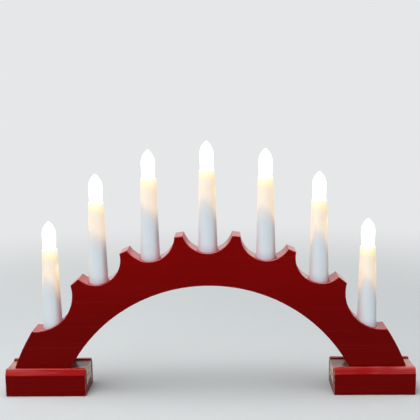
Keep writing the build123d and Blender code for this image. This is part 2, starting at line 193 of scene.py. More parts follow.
lacquer = {
    # the pale pink serves both worn thin paint along the edges and painted reflection on upward faces
    "deep": rgb(116, 1, 1), "bright": rgb(146, 3, 2), "faded": rgb(176, 15, 13), "dusty": rgb(208, 104, 106),
    "primer": rgb(222, 190, 168), "bareWood": rgb(188, 146, 98), "endGrain": rgb(232, 220, 204),
    "settledDust": rgb(188, 158, 146), "cloudNoise": (11, 3), "peelNoise": (520, 2),
    "grainNoise": ((9, 90, 330), 5, 0.62), "streakNoise": ((5, 500, 700), 2),
    "pits": ((1500, 1), (0.70, 0.78)), "rubs": (((14, 170, 300), 4, 0.6), (0.40, 0.72)),
    "rubbedParts": ((15, 2), (0.48, 0.62)), "rightFoot": (-100.0 * mm, 100.0 * mm), "rubbedShare": 0.3,
    "rightShare": 0.4, "upwardDust": 0.03, "lengthwise": (0.95, 0.7), "upward": (0.2, 0.45),
    "flat": (0.5, 0.8), "under": (0.9, 0.99), "crown": (50.0 * mm, 150.0 * mm), "crownShare": 0.75,
    "streaks": (0.56, 0.80), "bare": (0.52, 0.86), "bareCloud": 0.6, "rings": (0.44, 0.66), "ringShare": 0.8,
    "bareEnd": (0.30, 0.46), "rough": 0.17, "relief": (0.30, 0.12 * mm), "coat": 0.85,
    # each colour goes over the ones before it, by this share of its mask
    # some layers are painted light: the lighter red on upward faces, and pale pink patches and streaks of
    # painted reflection
    "layers": [
        ("upward", 0.8, "faded"), ("streaks", 0.05, "dusty"), ("rubbed", 1.0, "dusty"),
        ("thin", 0.25, "dusty"), ("dust", 0.75, "settledDust"), ("chips", 1.0, "primer"),
        ("bareUnder", 0.8, "bareWood"),
    ],
    "roughBy": {"grain": 0.10, "thin": 0.12, "chips": 0.30, "under": 0.35, "dust": 0.25, "bareEnd": 0.4},
    "reliefBy": {"peel": 0.4, "grainAlong": 0.5, "streakAlong": 0.6, "pits": -0.5, "chips": -1.2},
    "constants": {"IOR": 1.12, "Coat_Roughness": 0.18, "Coat_IOR": 1.5},
}


def lacquerRecipe(bench, look):
    place = bench.place()
    height = place.axis("Z")
    facing = bench.add("ShaderNodeNewGeometry", out="True Normal")
    level = facing.sister("Normal").axis("Z")
    cloud = bench.noise(place, *look["cloudNoise"])
    grain = bench.noise(place, *look["grainNoise"])
    streak = bench.noise(place, *look["streakNoise"])
    chips, thin = edgeWear(bench, place, height, facing)
    tabTop, dust, bareEnd, ragged = tabWear(bench, place, height, level)
    lengthwise = abs(level.sister("X")).fade(*look["lengthwise"])
    # painted light: faces that look up take a lighter red, as if lit from above
    upward = level.fade(*look["upward"])
    under = (level * -1.0).fade(*look["under"])
    # painted reflection: what looks up takes pale pink patches, most towards the right, which the lamps
    # light less, and a little everywhere
    rubbed = bench.patches(place, *look["rubs"]) * upward * bench.patches(place, *look["rubbedParts"])
    rightSheen = look["rightShare"] * height.sister("X").fade(*look["rightFoot"])
    masks = {
        # the pale streaks along lengthwise faces are painted highlight rows; their ridges in the relief are
        # real
        "upward": upward, "streaks": streak.fade(*look["streaks"]) * lengthwise, "thin": thin,
        "rubbed": rubbed * (look["rubbedShare"] + rightSheen) + upward * look["upwardDust"], "dust": dust,
        "chips": chips * (1.0 - tabTop), "under": under, "bareEnd": bareEnd, "grain": grain,
        "bareUnder": under * (grain + cloud * look["bareCloud"]).fade(*look["bare"]),
        "grainAlong": grain * lengthwise, "streakAlong": streak * lengthwise,
        "peel": bench.noise(place, *look["peelNoise"]), "pits": bench.patches(place, *look["pits"]),
    }
    # painted light: brighter towards the crown and darker down the legs, mixed with random clouds of tone;
    # and bare down to the wood at the tabs' inner ends
    crown = height.fade(*look["crown"]) * look["crownShare"] + cloud * (1.0 - look["crownShare"])
    paint = bench.mixColour(crown, look["deep"], look["bright"])
    for mask, share, colour in look["layers"]:
        paint = bench.mixColour(masks[mask] * share, paint, look[colour])
    rings = grain.fade(*look["rings"]) * look["ringShare"]
    endGrain = bench.mixColour(rings, look["endGrain"], look["bareWood"])
    paint = bench.mixColour(bareEnd * ragged.fade(*look["bareEnd"]), paint, endGrain)
    bench.finishSurface(
        Base_Color=paint, Roughness=weighted(masks, look["roughBy"], look["rough"]),
        Normal=bench.bump(weighted(masks, look["reliefBy"]), *look["relief"]),
        Coat_Weight=level.fade(*look["flat"]) * look["coat"], **look["constants"],
    )


def glowRamp(bench, look, reach):
    colour = bench.add("ShaderNodeValToRGB", {0: reach}, "Color")
    elements, stops = colour.socket.node.color_ramp.elements, look["stops"]
    elements[0].position, elements[1].position = stops[0][0], stops[-1][0]
    for share, _ in stops[1:-1]:
        elements.new(share)
    for element, (_, name) in zip(elements, stops):
        element.color = look[name]
    return colour


# white plastic, lit from inside; its stops are shares of the sleeve's height
sleeveLook = {
    "plastic": rgb(212, 221, 227), "foot": rgb(205, 204, 222), "shade": rgb(206, 194, 184),
    "white": (0.64, 0.54, 0.30, 1.0), "yellow": (0.60, 0.46, 0.09, 1.0), "peach": (0.52, 0.34, 0.17, 1.0),
    "fading": (0.27, 0.20, 0.15, 1.0), "cool": (0.16, 0.18, 0.19, 1.0),
    "dusk": rgb(180, 168, 172), "duskGlow": (0.05, 0.04, 0.045, 1.0),
    "stops": [
        (0.0, "cool"), (0.46, "cool"), (0.58, "fading"), (0.69, "peach"), (0.87, "peach"), (0.925, "yellow"),
        (1.0, "white"),
    ],
    "mottleNoise": (70, 3), "driftNoise": ((22, 22, 3), 1),
    "carried": (((13, 3, 3), 1), (0.43, 0.53)), "flowNoise": ((140, 140, 12), 3),
    "scratchNoise": ((900, 900, 60), 2), "flank": (0.55, 0.95), "underRim": (0.86, 0.76),
    "rightSide": (0.45, 1.0), "lowDown": (0.60, 0.34), "aboveFoot": (0.02, 0.13), "mottled": (0.5, 0.9),
    "drift": 0.12, "sideDrift": 0.055, "carriedDrift": 0.20, "rimDrift": 0.025, "mottleDrift": 0.02,
    "glowDusk": 0.60, "bodyDusk": 0.55, "mottleShade": 0.25, "flankShade": 0.3, "rough": 0.30,
    "flowRough": 0.12, "flow": 0.7, "scratch": 0.3, "relief": (0.12, 0.1 * mm), "ior": 1.46,
}


def sleeveRecipe(bench, look):
    height = bench.add("ShaderNodeAttribute", out="Fac", attribute_name="heightShare")
    place = bench.place()
    mottle = bench.noise(place, *look["mottleNoise"])
    facing = bench.add("ShaderNodeNewGeometry", out="True Normal")
    side = facing.axis("X")
    flank = abs(side).fade(*look["flank"])
    # the glow reaches a little lower on the right, and some sleeves carry it down in the wall
    drift = (bench.noise(place, *look["driftNoise"]) - 0.5) * look["drift"] + side * look["sideDrift"]
    drift = drift + flank * bench.patches(place, *look["carried"]) * look["carriedDrift"]
    drift = drift * height.fade(*look["underRim"]) + side * look["rimDrift"]
    glow = glowRamp(bench, look, height + (mottle - 0.5) * look["mottleDrift"] + drift)
    # low down, the right side lies in shade
    dusk = side.fade(*look["rightSide"]) * height.fade(*look["lowDown"])
    glow = bench.mixColour(dusk * look["glowDusk"], glow, look["duskGlow"])
    body = bench.mixColour(height.fade(*look["aboveFoot"]), look["foot"], look["plastic"])
    shade = mottle.fade(*look["mottled"]) * look["mottleShade"] + flank * look["flankShade"]
    body = bench.mixColour(shade, body, look["shade"])
    body = bench.mixColour(dusk * look["bodyDusk"], body, look["dusk"])
    flow = bench.noise(place, *look["flowNoise"])
    relief = flow * look["flow"] + bench.noise(place, *look["scratchNoise"]) * look["scratch"]
    bench.finishSurface(
        Base_Color=body, Roughness=look["rough"] + look["flowRough"] * flow, IOR=look["ior"],
        Emission_Color=glow, Emission_Strength=1.0, Normal=bench.bump(relief, *look["relief"]),
    )


# opal glass; its stops are shares of the envelope's height over the seat
bulbLook = {
    "envelope": rgb(250, 244, 232), "core": (1.0, 0.93, 0.78, 1.0), "foot": (0.95, 0.72, 0.36, 1.0),
    "tip": (1.0, 0.88, 0.66, 1.0), "strength": 1.6, "frostNoise": (1400, 2), "rough": 0.16,
    "frostRough": 0.10, "relief": (0.05, 0.05 * mm), "ior": 1.5,
    "stops": [(0.0, "foot"), (0.42, "foot"), (0.60, "core"), (0.90, "core"), (1.0, "tip")],
}


def bulbRecipe(bench, look):
    height = bench.add("ShaderNodeAttribute", out="Fac", attribute_name="heightShare")
    frost = bench.noise(bench.place(), *look["frostNoise"])
    bench.finishSurface(
        Base_Color=look["envelope"], Roughness=look["rough"] + look["frostRough"] * frost, IOR=look["ior"],
        Emission_Color=glowRamp(bench, look, height), Emission_Strength=look["strength"],
        Normal=bench.bump(frost, *look["relief"]),
    )


metalWear = {
    "tarnish": ((260, 4, 0.6), (0.50, 0.74)), "brushDetail": 3, "brushRough": 0.14,
    "tarnishRough": 0.18, "relief": (0.10, 0.05 * mm),
}
# clean and dull colour, share of dulling, roughness, waves of the brushing by axis
metals = {
    "brass": (rgb(206, 168, 92), rgb(148, 110, 58), 0.7, 0.24, (300, 300, 2500)),
    "nickel": (rgb(205, 200, 190), rgb(150, 142, 128), 0.5, 0.20, (400, 400, 2600)),
    "zincSteel": (rgb(196, 198, 200), rgb(150, 148, 140), 0.8, 0.30, (900, 500, 900)),
    "solder": (rgb(182, 182, 184), rgb(128, 126, 122), 0.8, 0.34, (800, 800, 800)),
}


def metalRecipe(bench, clean, dull, dulling, rough, brush):
    place = bench.place()
    brushed = bench.noise(place, brush, metalWear["brushDetail"])
    tarnish = bench.patches(place, *metalWear["tarnish"])
    bench.finishSurface(
        Base_Color=bench.mixColour(tarnish * dulling, clean, dull), Metallic=1.0,
        Roughness=rough + metalWear["brushRough"] * brushed + metalWear["tarnishRough"] * tarnish,
        Normal=bench.bump(brushed, *metalWear["relief"]),
    )


plasticWear = {
    "aged": ((120, 3), (0.35, 0.75)), "skinRough": 0.12, "relief": (0.15, 0.06 * mm), "ior": 1.49,
}
# fresh and aged colour, waves of the skin, roughness
plastics = {
    "holderIvory": (rgb(232, 226, 206), rgb(222, 212, 184), 1600, 0.36),
    "bushWhite": (rgb(226, 224, 214), rgb(214, 208, 192), 900, 0.42),
    "wireCover": (rgb(228, 222, 200), rgb(206, 196, 166), 700, 0.34),
    "capInsulator": (rgb(26, 24, 30), rgb(44, 40, 48), 1200, 0.14),
}


def mouldedRecipe(bench, fresh, aged, waves, rough):
    place = bench.place()
    skin = bench.noise(place, waves)
    age = bench.patches(place, *plasticWear["aged"])
    bench.finishSurface(
        Base_Color=bench.mixColour(age, fresh, aged), Roughness=rough + plasticWear["skinRough"] * skin,
        IOR=plasticWear["ior"], Normal=bench.bump(skin, *plasticWear["relief"]),
    )


hotWire = {
    "wire": rgb(70, 66, 62), "edge": (1.0, 0.62, 0.25, 1.0), "middle": (1.0, 0.86, 0.55, 1.0),
    "strength": 3.0, "heat": ((800, 1), (0.2, 0.7)), "rough": 0.4,
}


def glowingWireRecipe(bench, look):
    heat = bench.patches(bench.place(), *look["heat"])
    bench.finishSurface(
        Base_Color=look["wire"], Roughness=look["rough"], Emission_Strength=look["strength"],
        Emission_Color=bench.mixColour(heat, look["edge"], look["middle"]),
    )


recipes = {
    "redLacquer": (lacquerRecipe, lacquer), "sleevePlastic": (sleeveRecipe, sleeveLook),
    "opalBulb": (bulbRecipe, bulbLook), "hotFilament": (glowingWireRecipe, hotWire),
}
recipes.update({name: (metalRecipe, *metal) for name, metal in metals.items()})
recipes.update({name: (mouldedRecipe, *plastic) for name, plastic in plastics.items()})
finishes = {name: withNodes(bpy.data.materials.new(name), *recipe) for name, recipe in recipes.items()}
print("finishes made:", len(finishes))


# helpers for meshes and Geometry Nodes

mergeReach, seamReach, flatWeight = 0.003 * mm, 0.001 * mm, 90
# the angles, in degrees, over which an edge is shaded sharp
sharpAbove = {"board": 40, "bar": 50, "holder": 35, "turned": 45}


def newPiece(name, data):
    piece = bpy.data.objects.new(name, data)
    bpy.context.scene.collection.objects.link(piece)
    return piece


def settle(piece):
    # turns the piece and its modifiers into a plain mesh
    bpy.context.view_layer.update()
    graph = bpy.context.evaluated_depsgraph_get()
    result = piece.evaluated_get(graph)
    mesh = bpy.data.meshes.new_from_object(result, preserve_all_data_layers=True, depsgraph=graph)
    mesh.name = piece.name
    piece.modifiers.clear()
    piece.data = mesh
    return piece


def dress(piece, body, node):
    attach(piece, body)
    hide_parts(node)


def meshFrom(work, name, *materials):
    # the bmesh ends here
    mesh = bpy.data.meshes.new(name)
    work.to_mesh(mesh)
    work.free()
    for material in materials:
        mesh.materials.append(material)
    return mesh


def shadeByAngle(work, kind):
    for face in work.faces:
        face.smooth = True
    for edge in work.edges:
        edge.smooth = edge.is_manifold and edge.calc_face_angle(0) < math.radians(sharpAbove[kind])


def mergedCopy(node, name, kind, finish):
    # the CAD piece as one closed mesh, its flat faces flat and its curved ones smooth
    work = bmesh.new()
    work.from_mesh(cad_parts[node].data)
    bmesh.ops.remove_doubles(work, verts=work.verts, dist=mergeReach)
    shadeByAngle(work, kind)
    piece = newPiece(name, meshFrom(work, name, finishes[finish]))
    even = piece.modifiers.new("evenShading", "WEIGHTED_NORMAL")
    even.keep_sharp, even.weight = True, flatWeight
    dress(settle(piece), "root", node)


def polyline(name, points):
    mesh = bpy.data.meshes.new(name)
    mesh.from_pydata(points, [(i, i + 1) for i in range(len(points) - 1)], [])
    return mesh


# lays an upright piece down, its top to the back
layDown = Matrix.Rotation(math.radians(-90), 4, "X")


def seedLine():
    # for the trees that make all of their geometry
    return polyline("seed", [(0, 0, 0), (0, 0, 1)])


def openTree(name, **inputs):
    # a Geometry Nodes tree with these inputs, and with Master and Material
    tree = bpy.data.node_groups.new(name, "GeometryNodeTree")
    kinds = {float: "Float", int: "Int", tuple: "Vector"}

    def addSocket(label, kind, way="INPUT"):
        return tree.interface.new_socket(label, in_out=way, socket_type="NodeSocket" + kind)

    addSocket("Geometry", "Geometry")
    for label, value in inputs.items():
        addSocket(label, kinds[type(value)]).default_value = value
    addSocket("Master", "Object")
    addSocket("Material", "Material")
    addSocket("Geometry", "Geometry", "OUTPUT")
    bench = Bench(tree)
    return bench, bench.add("NodeGroupInput")


def closeTree(bench, entry, geometry):
    for kind in ("GeometryNodeSetShadeSmooth", "GeometryNodeRealizeInstances"):
        geometry = bench.add(kind, {"Geometry": geometry})
    feeds = {"Geometry": geometry, "Material": entry.sister("Material")}
    bench.add("NodeGroupOutput", {"Geometry": bench.add("GeometryNodeSetMaterial", feeds)})
    return bench.tree


def grow(name, tree, mesh, finish, **values):
    # runs a tree on a mesh and keeps the result as a plain piece
    piece = newPiece(name, mesh)
    growth = piece.modifiers.new("growth", "NODES")
    growth.node_group = tree
    values["Material"] = finishes[finish]
    for item in tree.interface.items_tree:
        if item.in_out == "INPUT" and item.name in values:
            growth[item.identifier] = values[item.name]
    return settle(piece)


def setPlace(bench, geometry, x, y, z, offset):
    spot = bench.add("ShaderNodeCombineXYZ", {0: x, 1: y, 2: z})
    spot = bench.add("ShaderNodeVectorMath", {0: spot, 1: offset}, operation="ADD")
    return bench.add("GeometryNodeSetPosition", {"Geometry": geometry, "Position": spot})


def unitGrid(bench, columns, rows):
    # a grid, with each point's share of the way across and up
    feeds = {"Size X": 1.0, "Size Y": 1.0, "Vertices X": columns, "Vertices Y": rows}
    grid = bench.add("GeometryNodeMeshGrid", feeds)
    spot = bench.add("GeometryNodeInputPosition").axis("X")
    return grid, spot + 0.5, spot.sister("Y") + 0.5


def rollUp(bench, grid, radius, turn, height, offset):
    # lays the grid round a vertical axis and closes its seam
    angle = turn * fullTurn
    x, y = radius * bench.maths("COSINE", angle), radius * bench.maths("SINE", angle)
    around = setPlace(bench, grid, x, y, height, offset)
    return bench.add("GeometryNodeMergeByDistance", {"Geometry": around, "Distance": seamReach})


def sweep(bench, line, sides, radius):
    path = bench.add("GeometryNodeMeshToCurve", {0: line})
    ring = bench.add("GeometryNodeCurvePrimitiveCircle", {"Resolution": sides, "Radius": radius})
    feeds = {"Curve": path, "Profile Curve": ring, "Fill Caps": True}
    return bench.add("GeometryNodeCurveToMesh", feeds)


def buildTurnedTree():
    # spins the profile, given as a line of points (radius, 0, height), about a vertical axis
    bench, entry = openTree("turnedBody", Columns=64, Place=(0.0, 0.0, 0.0))
    rows = bench.add("GeometryNodeAttributeDomainSize", {0: entry}, "Point Count")
    grid, turn, rise = unitGrid(bench, entry.sister("Columns") + 1, rows)
    spot = bench.add("GeometryNodeInputPosition")
    feeds = {"Geometry": entry, "Value": spot, "Index": bench.maths("ROUND", rise * (rows - 1))}
    radius = bench.add("GeometryNodeSampleIndex", feeds, data_type="FLOAT_VECTOR").axis("X")
    height = radius.sister("Z")
    feeds = {"Geometry": entry, "Attribute": spot.axis("Z")}
    highest = bench.add("GeometryNodeAttributeStatistic", feeds, "Max")
    feeds = {"Geometry": grid, "Name": "heightShare", "Value": height / highest}
    marked = bench.add("GeometryNodeStoreNamedAttribute", feeds)
    return closeTree(bench, entry, rollUp(bench, marked, radius, turn, height, entry.sister("Place")))


def buildThreadTree():
    # a rolled thread: sheet whose radius follows a helix; its phase hangs on the height above the table
    bench, entry = openTree(
        "rolledThread", Crest=0.0, Root=0.0, Pitch=0.0, Height=0.0, Lead=0.0, Columns=48, Rows=60,
        Place=(0.0, 0.0, 0.0),
    )
    value = entry.sister
    grid, turn, rise = unitGrid(bench, value("Columns") + 1, value("Rows") + 1)
    height = rise * value("Height")
    above = value("Place").axis("Z")
    wave = 0.5 - 0.5 * bench.maths("COSINE", ((height + above) / value("Pitch") - turn) * fullTurn)
    ends = height.fade(0.0, value("Lead")) * (value("Height") - height).fade(0.0, value("Lead"))
    radius = value("Root") + (value("Crest") - value("Root")) * wave * ends
    return closeTree(bench, entry, rollUp(bench, grid, radius, turn, height, value("Place")))


def buildWireTree():
    # a round wire along a line of points
    bench, entry = openTree("sweptWire", Radius=1.0 * mm, Sides=14)
    return closeTree(bench, entry, sweep(bench, entry, entry.sister("Sides"), entry.sister("Radius")))


def buildScatterTree():
    # the master piece at each point, turned about Y by the point's direction from the hub
    bench, entry = openTree("scatteredPieces", Hub=(0.0, 0.0, 0.0), Follow=1.0)
    feeds = {0: bench.add("GeometryNodeInputPosition"), 1: entry.sister("Hub")}
    reach = bench.add("ShaderNodeVectorMath", feeds, operation="SUBTRACT").axis("X")
    angle = bench.maths("ARCTAN2", reach, reach.sister("Z")) * entry.sister("Follow")
    turn = bench.add("ShaderNodeCombineXYZ", {"Y": angle})
    master = bench.add("GeometryNodeObjectInfo", {"Object": entry.sister("Master")}, "Geometry")
    feeds = {"Points": entry, "Instance": master, "Rotation": turn}
    return closeTree(bench, entry, bench.add("GeometryNodeInstanceOnPoints", feeds))


def buildCoilTree():
    # a fine coil that follows a bow between two leads
    bench, entry = openTree(
        "coiledBow", Span=1.6 * mm, Coil=0.32 * mm, Turns=16.0, Wire=0.07 * mm, Sides=5, Points=240,
        Place=(0.0, 0.0, 0.0),
    )
    value = entry.sister
    line = bench.add("GeometryNodeMeshLine", {"Count": value("Points")})
    share = bench.add("GeometryNodeInputIndex") / (value("Points") - 1)
    bow = (1.0 - share) * math.pi
    twist = share * value("Turns") * fullTurn
    out = value("Span") + value("Coil") * bench.maths("COSINE", twist)
    coiled = setPlace(
        bench, line, out * bench.maths("COSINE", bow), value("Coil") * bench.maths("SINE", twist),
        out * bench.maths("SINE", bow), value("Place"),
    )
    return closeTree(bench, entry, sweep(bench, coiled, value("Sides"), value("Wire")))


turnedTree, threadTree, wireTree = buildTurnedTree(), buildThreadTree(), buildWireTree()
scatterTree, coilTree = buildScatterTree(), buildCoilTree()


def roundedCorner(centre, radius, start, end, steps=5):
    # from one angle to the other, in degrees
    angles = [math.radians(start + (end - start) * i / steps) for i in range(steps + 1)]
    return [(centre[0] + radius * math.cos(a), centre[1] + radius * math.sin(a)) for a in angles]


def flowing(points, steps=5):
    # a smooth line through the points (Catmull-Rom)
    line = []
    padded = [points[0]] + list(points) + [points[-1]]
    for before, start, end, after in zip(padded, padded[1:], padded[2:], padded[3:]):
        for i in range(steps):
            t = i / steps
            line.append(tuple(
                0.5 * (
                    2 * b + (c - a) * t + (2 * a - 5 * b + 4 * c - d) * t**2 + (3 * b - a - 3 * c + d) * t**3
                ) for a, b, c, d in zip(before, start, end, after)
            ))
    return line + [tuple(points[-1])]


def lifted(profile, level):
    return [(radius, level + height) for radius, height in profile]


def turned(name, profile, place, finish, columns):
    # the profile is in millimetres, as (radius, height)
    points = [(max(radius, 0.0) * mm, 0.0, height * mm) for radius, height in profile]
    piece = grow(name, turnedTree, polyline(name, points), finish, Columns=columns, Place=place)
    work = bmesh.new()
    work.from_mesh(piece.data)
    bmesh.ops.recalc_face_normals(work, faces=work.faces)
    shadeByAngle(work, "turned")
    work.to_mesh(piece.data)
    work.free()
    return piece


def rolledThread(name, thread, place, height, finish, **counts):
    # in millimetres, apart from the place; a thread with a wall is sheet, thickened inwards
    sizes = {key.capitalize(): thread[key] * mm for key in ("crest", "root", "pitch", "lead")}
    piece = grow(name, threadTree, seedLine(), finish, Height=height * mm, Place=place, **sizes, **counts)
    if "wall" in thread:
        wall = piece.modifiers.new("wall", "SOLIDIFY")
        wall.thickness, wall.offset = thread["wall"] * mm, -1.0
        settle(piece)
    return piece


def scatter(name, master, points, node, **values):
    # copies of the master, as one piece of steel; the master goes
    piece = grow(name, scatterTree, polyline(name, points), "zincSteel", Master=master, **values)
    bpy.data.objects.remove(master)
    dress(piece, "root", node)


# stations: where the CAD sleeves stand

stationCount = 7
stations = []
for number in range(1, stationCount + 1):
    low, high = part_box(f"candle_sleeve_{number}")
    stations.append({"number": number, "x": (low.x + high.x) / 2, "seat": low.z})


def onAxis(station, height=0.0):
    # a place over the station's seat, its height in millimetres
    return (station["x"], 0.0, station["seat"] + height * mm)


# arch board and feet

mergedCopy("arch_board", "archBoard", "board", "redLacquer")
for node in ("front_bar_left", "front_bar_right", "back_bar_left", "back_bar_right"):
    words = node.split("_")
    mergedCopy(node, words[0] + "Bar" + words[2].capitalize(), "bar", "redLacquer")
print("board and feet made")


# candle sleeves

# in millimetres, like all pieces from here on
sleeve = {
    "length": 80.0, "baseRadius": 9.6, "topRadius": 7.5, "wall": 0.9, "rim": 0.4, "foot": 0.25, "rings": 10,
    "columns": 72,
}


def sleeveProfile(s):
    # up the outside, over the rounded rim, down the inside and back under the foot
    def outer(height):
        return s["baseRadius"] + (s["topRadius"] - s["baseRadius"]) * height / s["length"]
    lowest, highest = s["foot"], s["length"] - s["rim"]
    profile = roundedCorner((outer(0) - s["foot"], s["foot"]), s["foot"], -90, 0, 3)
    rises = [lowest + (highest - lowest) * i / s["rings"] for i in range(1, s["rings"])]
    profile += [(outer(height), height) for height in rises]
    profile += roundedCorner((outer(highest) - s["rim"], highest), s["rim"], 0, 90)
    profile += roundedCorner((outer(highest) - s["wall"] + s["rim"], highest), s["rim"], 90, 180)
    profile += [(outer(height) - s["wall"], height) for height in reversed(rises)]
    profile += [(outer(0) - s["wall"], 0.0)]
    return profile + profile[:1]


profile = sleeveProfile(sleeve)
for station in stations:
    number, seat = station["number"], onAxis(station)
    piece = turned(f"candleSleeve_{number}", profile, seat, "sleevePlastic", sleeve["columns"])
    dress(piece, f"candle_{number}", f"candle_sleeve_{number}")
print("sleeves made")


# lamps

# profiles are given as (radius, height)
lamp = {
    "aboveRim": 27.5, "length": 44.1, "capLength": 9.0, "insulator": 1.0, "contact": 1.0, "neckRadius": 4.36,
    "footDrop": 6.0, "footEasing": 0.4, "columns": 64, "insulatorColumns": 40, "contactColumns": 32,
    "cap": {"crest": 4.76, "root": 4.45, "pitch": 1.81, "lead": 0.7, "wall": 0.06},
    # from the cap's top, and then from the sleeve's rim
    "flare": [(4.36, -0.5), (4.51, 0.6)],
    "envelope": [
        (5.3, -2.6), (6.1, 0.0), (6.25, 4.5), (6.4, 9.0), (6.55, 12.0), (6.6, 14.5), (6.45, 17.0),
        (5.95, 19.3), (5.1, 21.6), (4.0, 23.6), (2.8, 25.1), (1.75, 26.3), (0.95, 27.0), (0.42, 27.38),
    ],
    "insulatorProfile": [
        (0.0, 0.0), (3.1, 0.0), (3.4, 0.12), (4.35, 0.85), (4.42, 1.0), (4.36, 1.3), (0.0, 1.3),
    ],
    "contactProfile": [(0.0, 0.0), (0.8, 0.05), (1.4, 0.3), (1.75, 0.75), (1.8, 1.15), (0.0, 1.15)],
}
contactLevel = sleeve["length"] - (lamp["length"] - lamp["aboveRim"])
insulatorLevel = contactLevel + lamp["contact"]
capBottom = insulatorLevel + lamp["insulator"]
capTop = capBottom + lamp["capLength"]


def bulbProfile():
    neck, bottom, rim = lamp["neckRadius"], capTop - lamp["footDrop"], sleeve["length"]
    start = [(0.0, bottom), (neck - lamp["footEasing"], bottom), (neck, bottom + lamp["footEasing"])]
    outside = flowing(lifted(lamp["flare"], capTop) + lifted(lamp["envelope"], rim))
    return start + outside + [(0.0, rim + lamp["aboveRim"])]


def makeLamp(station):
    number, seat = station["number"], onAxis(station)
    bulb = turned(f"lampBulb_{number}", bulbProfile(), seat, "opalBulb", lamp["columns"])
    dress(bulb, f"lamp_{number}", f"lamp_glass_{number}")
    place = onAxis(station, capBottom)
    cap = rolledThread(f"lampCap_{number}", lamp["cap"], place, lamp["capLength"], "nickel")
    profile = lifted(lamp["insulatorProfile"], insulatorLevel)
    insulator = turned(f"lampInsulator_{number}", profile, seat, "capInsulator", lamp["insulatorColumns"])
    profile = lifted(lamp["contactProfile"], contactLevel)
    contact = turned(f"lampContact_{number}", profile, seat, "solder", lamp["contactColumns"])
    for piece in (cap, insulator, contact):
        dress(piece, f"lamp_{number}", f"lamp_cap_{number}")


filament = {"span": 1.6, "crown": 0.45, "leadRadius": 0.25, "leadSides": 8}


def makeFilament(station):
    # two leads and a fine coil in a bow between them
    number, span = station["number"], filament["span"] * mm
    low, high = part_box(f"lamp_filament_{number}")
    top = high.z - span - filament["crown"] * mm
    place = (station["x"], 0.0, top)
    pieces = [grow(f"lampFilament_{number}", coilTree, seedLine(), "hotFilament", Span=span, Place=place)]
    for side, hand in ((-1, "left"), (1, "right")):
        x = station["x"] + side * span
        pieces.append(grow(
            f"filamentLead_{number}_{hand}", wireTree, polyline("lead", [(x, 0, low.z), (x, 0, top)]),
            "zincSteel", Radius=filament["leadRadius"] * mm, Sides=filament["leadSides"],
        ))
    for piece in pieces:
        dress(piece, f"lamp_{number}", f"lamp_filament_{number}")


for station in stations:
    makeLamp(station)
    makeFilament(station)
print("lamps made")


# lamp holders with their shells and contacts

contactGap, contactHeight, floorThickness, lugStep = 0.1, 2.0, 3.0, 1.6
cupFloor = contactLevel - contactGap - contactHeight
upperLug = cupFloor - floorThickness - lugStep
lowerLug = upperLug - lugStep
# brass shell: rolled thread, flange on the cup's floor, and a bent lug through the floor
shell = {
    "thread": {"crest": 5.12, "root": 4.98, "pitch": 1.81, "lead": 0.9, "wall": 0.12},
    "top": 73.5, "sheet": 0.28, "flange": 1.8, "flangeInset": 0.04, "columns": 40,
    "lug": {"offset": 3.4, "width": 2.4, "sheet": 0.5, "reach": 2.8, "easing": 0.08, "easingSteps": 2},
}


def shellLug(name, place):
    # an L-shaped strip: up through the floor, with a solder foot that reaches inwards
    lug = shell["lug"]
    outer, inner = (lug["offset"] + side * lug["sheet"] / 2 for side in (1, -1))
    tip, top, sole = outer - lug["reach"], cupFloor + shell["sheet"] / 2, lowerLug + lug["sheet"]
    outline = [(tip, lowerLug), (outer, lowerLug), (outer, top), (inner, top), (inner, sole), (tip, sole)]
    work = bmesh.new()
    y = -lug["width"] / 2 * mm
    front = work.faces.new([work.verts.new((x * mm, y, z * mm)) for x, z in outline])
    pushed = bmesh.ops.extrude_face_region(work, geom=[front])["geom"]
    moved = [item for item in pushed if isinstance(item, bmesh.types.BMVert)]
    bmesh.ops.translate(work, verts=moved, vec=(0.0, lug["width"] * mm, 0.0))
    bmesh.ops.recalc_face_normals(work, faces=work.faces)
    work.transform(Matrix.Translation(place))
    piece = newPiece(name, meshFrom(work, name, finishes["brass"]))
    eased = piece.modifiers.new("eased", "BEVEL")
    eased.width, eased.segments = lug["easing"] * mm, lug["easingSteps"]
    return settle(piece)


def makeShell(station):
    number, seat, rolled = station["number"], onAxis(station), shell["thread"]
    place, height = onAxis(station, cupFloor), shell["top"] - cupFloor
    thread = rolledThread(f"screwShell_{number}", rolled, place, height, "brass")
    outer, inner = rolled["crest"] - shell["flangeInset"], rolled["crest"] - shell["flange"]
    low, high = cupFloor, cupFloor + shell["sheet"]
    ring = [(inner, low), (outer, low), (outer, high), (inner, high), (inner, low)]
    flange = turned(f"shellFlange_{number}", ring, seat, "brass", shell["columns"])
    for piece in (thread, flange, shellLug(f"shellLug_{number}", seat)):
        dress(piece, "root", f"screw_shell_{number}")


for station in stations:
    number = station["number"]
    mergedCopy(f"lamp_holder_{number}", f"lampHolder_{number}", "holder", "holderIvory")
    makeShell(station)
mergedCopy("centre_contacts", "centreContacts", "holder", "brass")
print("holders made")


# wiring in the back of the board

wiring = {
    "radius": 0.95, "sides": 14, "riserSpacing": 2.5, "laneOffset": 1.3, "laneY": 9.5, "belowMiddle": 12.7,
    "belowEnd": 18.4, "riserBend": 4.0, "laneBend": 3.5, "boardBack": 12.5, "inletZ": 13.5, "bendSteps": 8,
    "laneStep": math.radians(2),
}


def stationX(index, side=0):
    return stations[index]["x"] / mm + side * wiring["riserSpacing"] / 2


def stationSeat(index):
    return stations[index]["seat"] / mm


# the groove's arc, from its depth under the middle seat and under the end ones
grooveTop = stationSeat(stationCount // 2) - wiring["belowMiddle"]
grooveFall = grooveTop - (stationSeat(-1) - wiring["belowEnd"])
grooveRadius = (stationX(-1) ** 2 + grooveFall**2) / (2 * grooveFall)
grooveCentre = grooveTop - grooveRadius


def lanePoint(radius, angle):
    return Vector((radius * math.sin(angle), wiring["laneY"], grooveCentre + radius * math.cos(angle)))


def alongLane(angle, heading=1):
    return Vector((heading * math.cos(angle), 0, -heading * math.sin(angle)))


def laneAngle(x, radius, heading):
    bend = wiring["laneBend"]
    return math.asin(x / math.hypot(radius, bend)) + heading * math.atan(bend / radius)


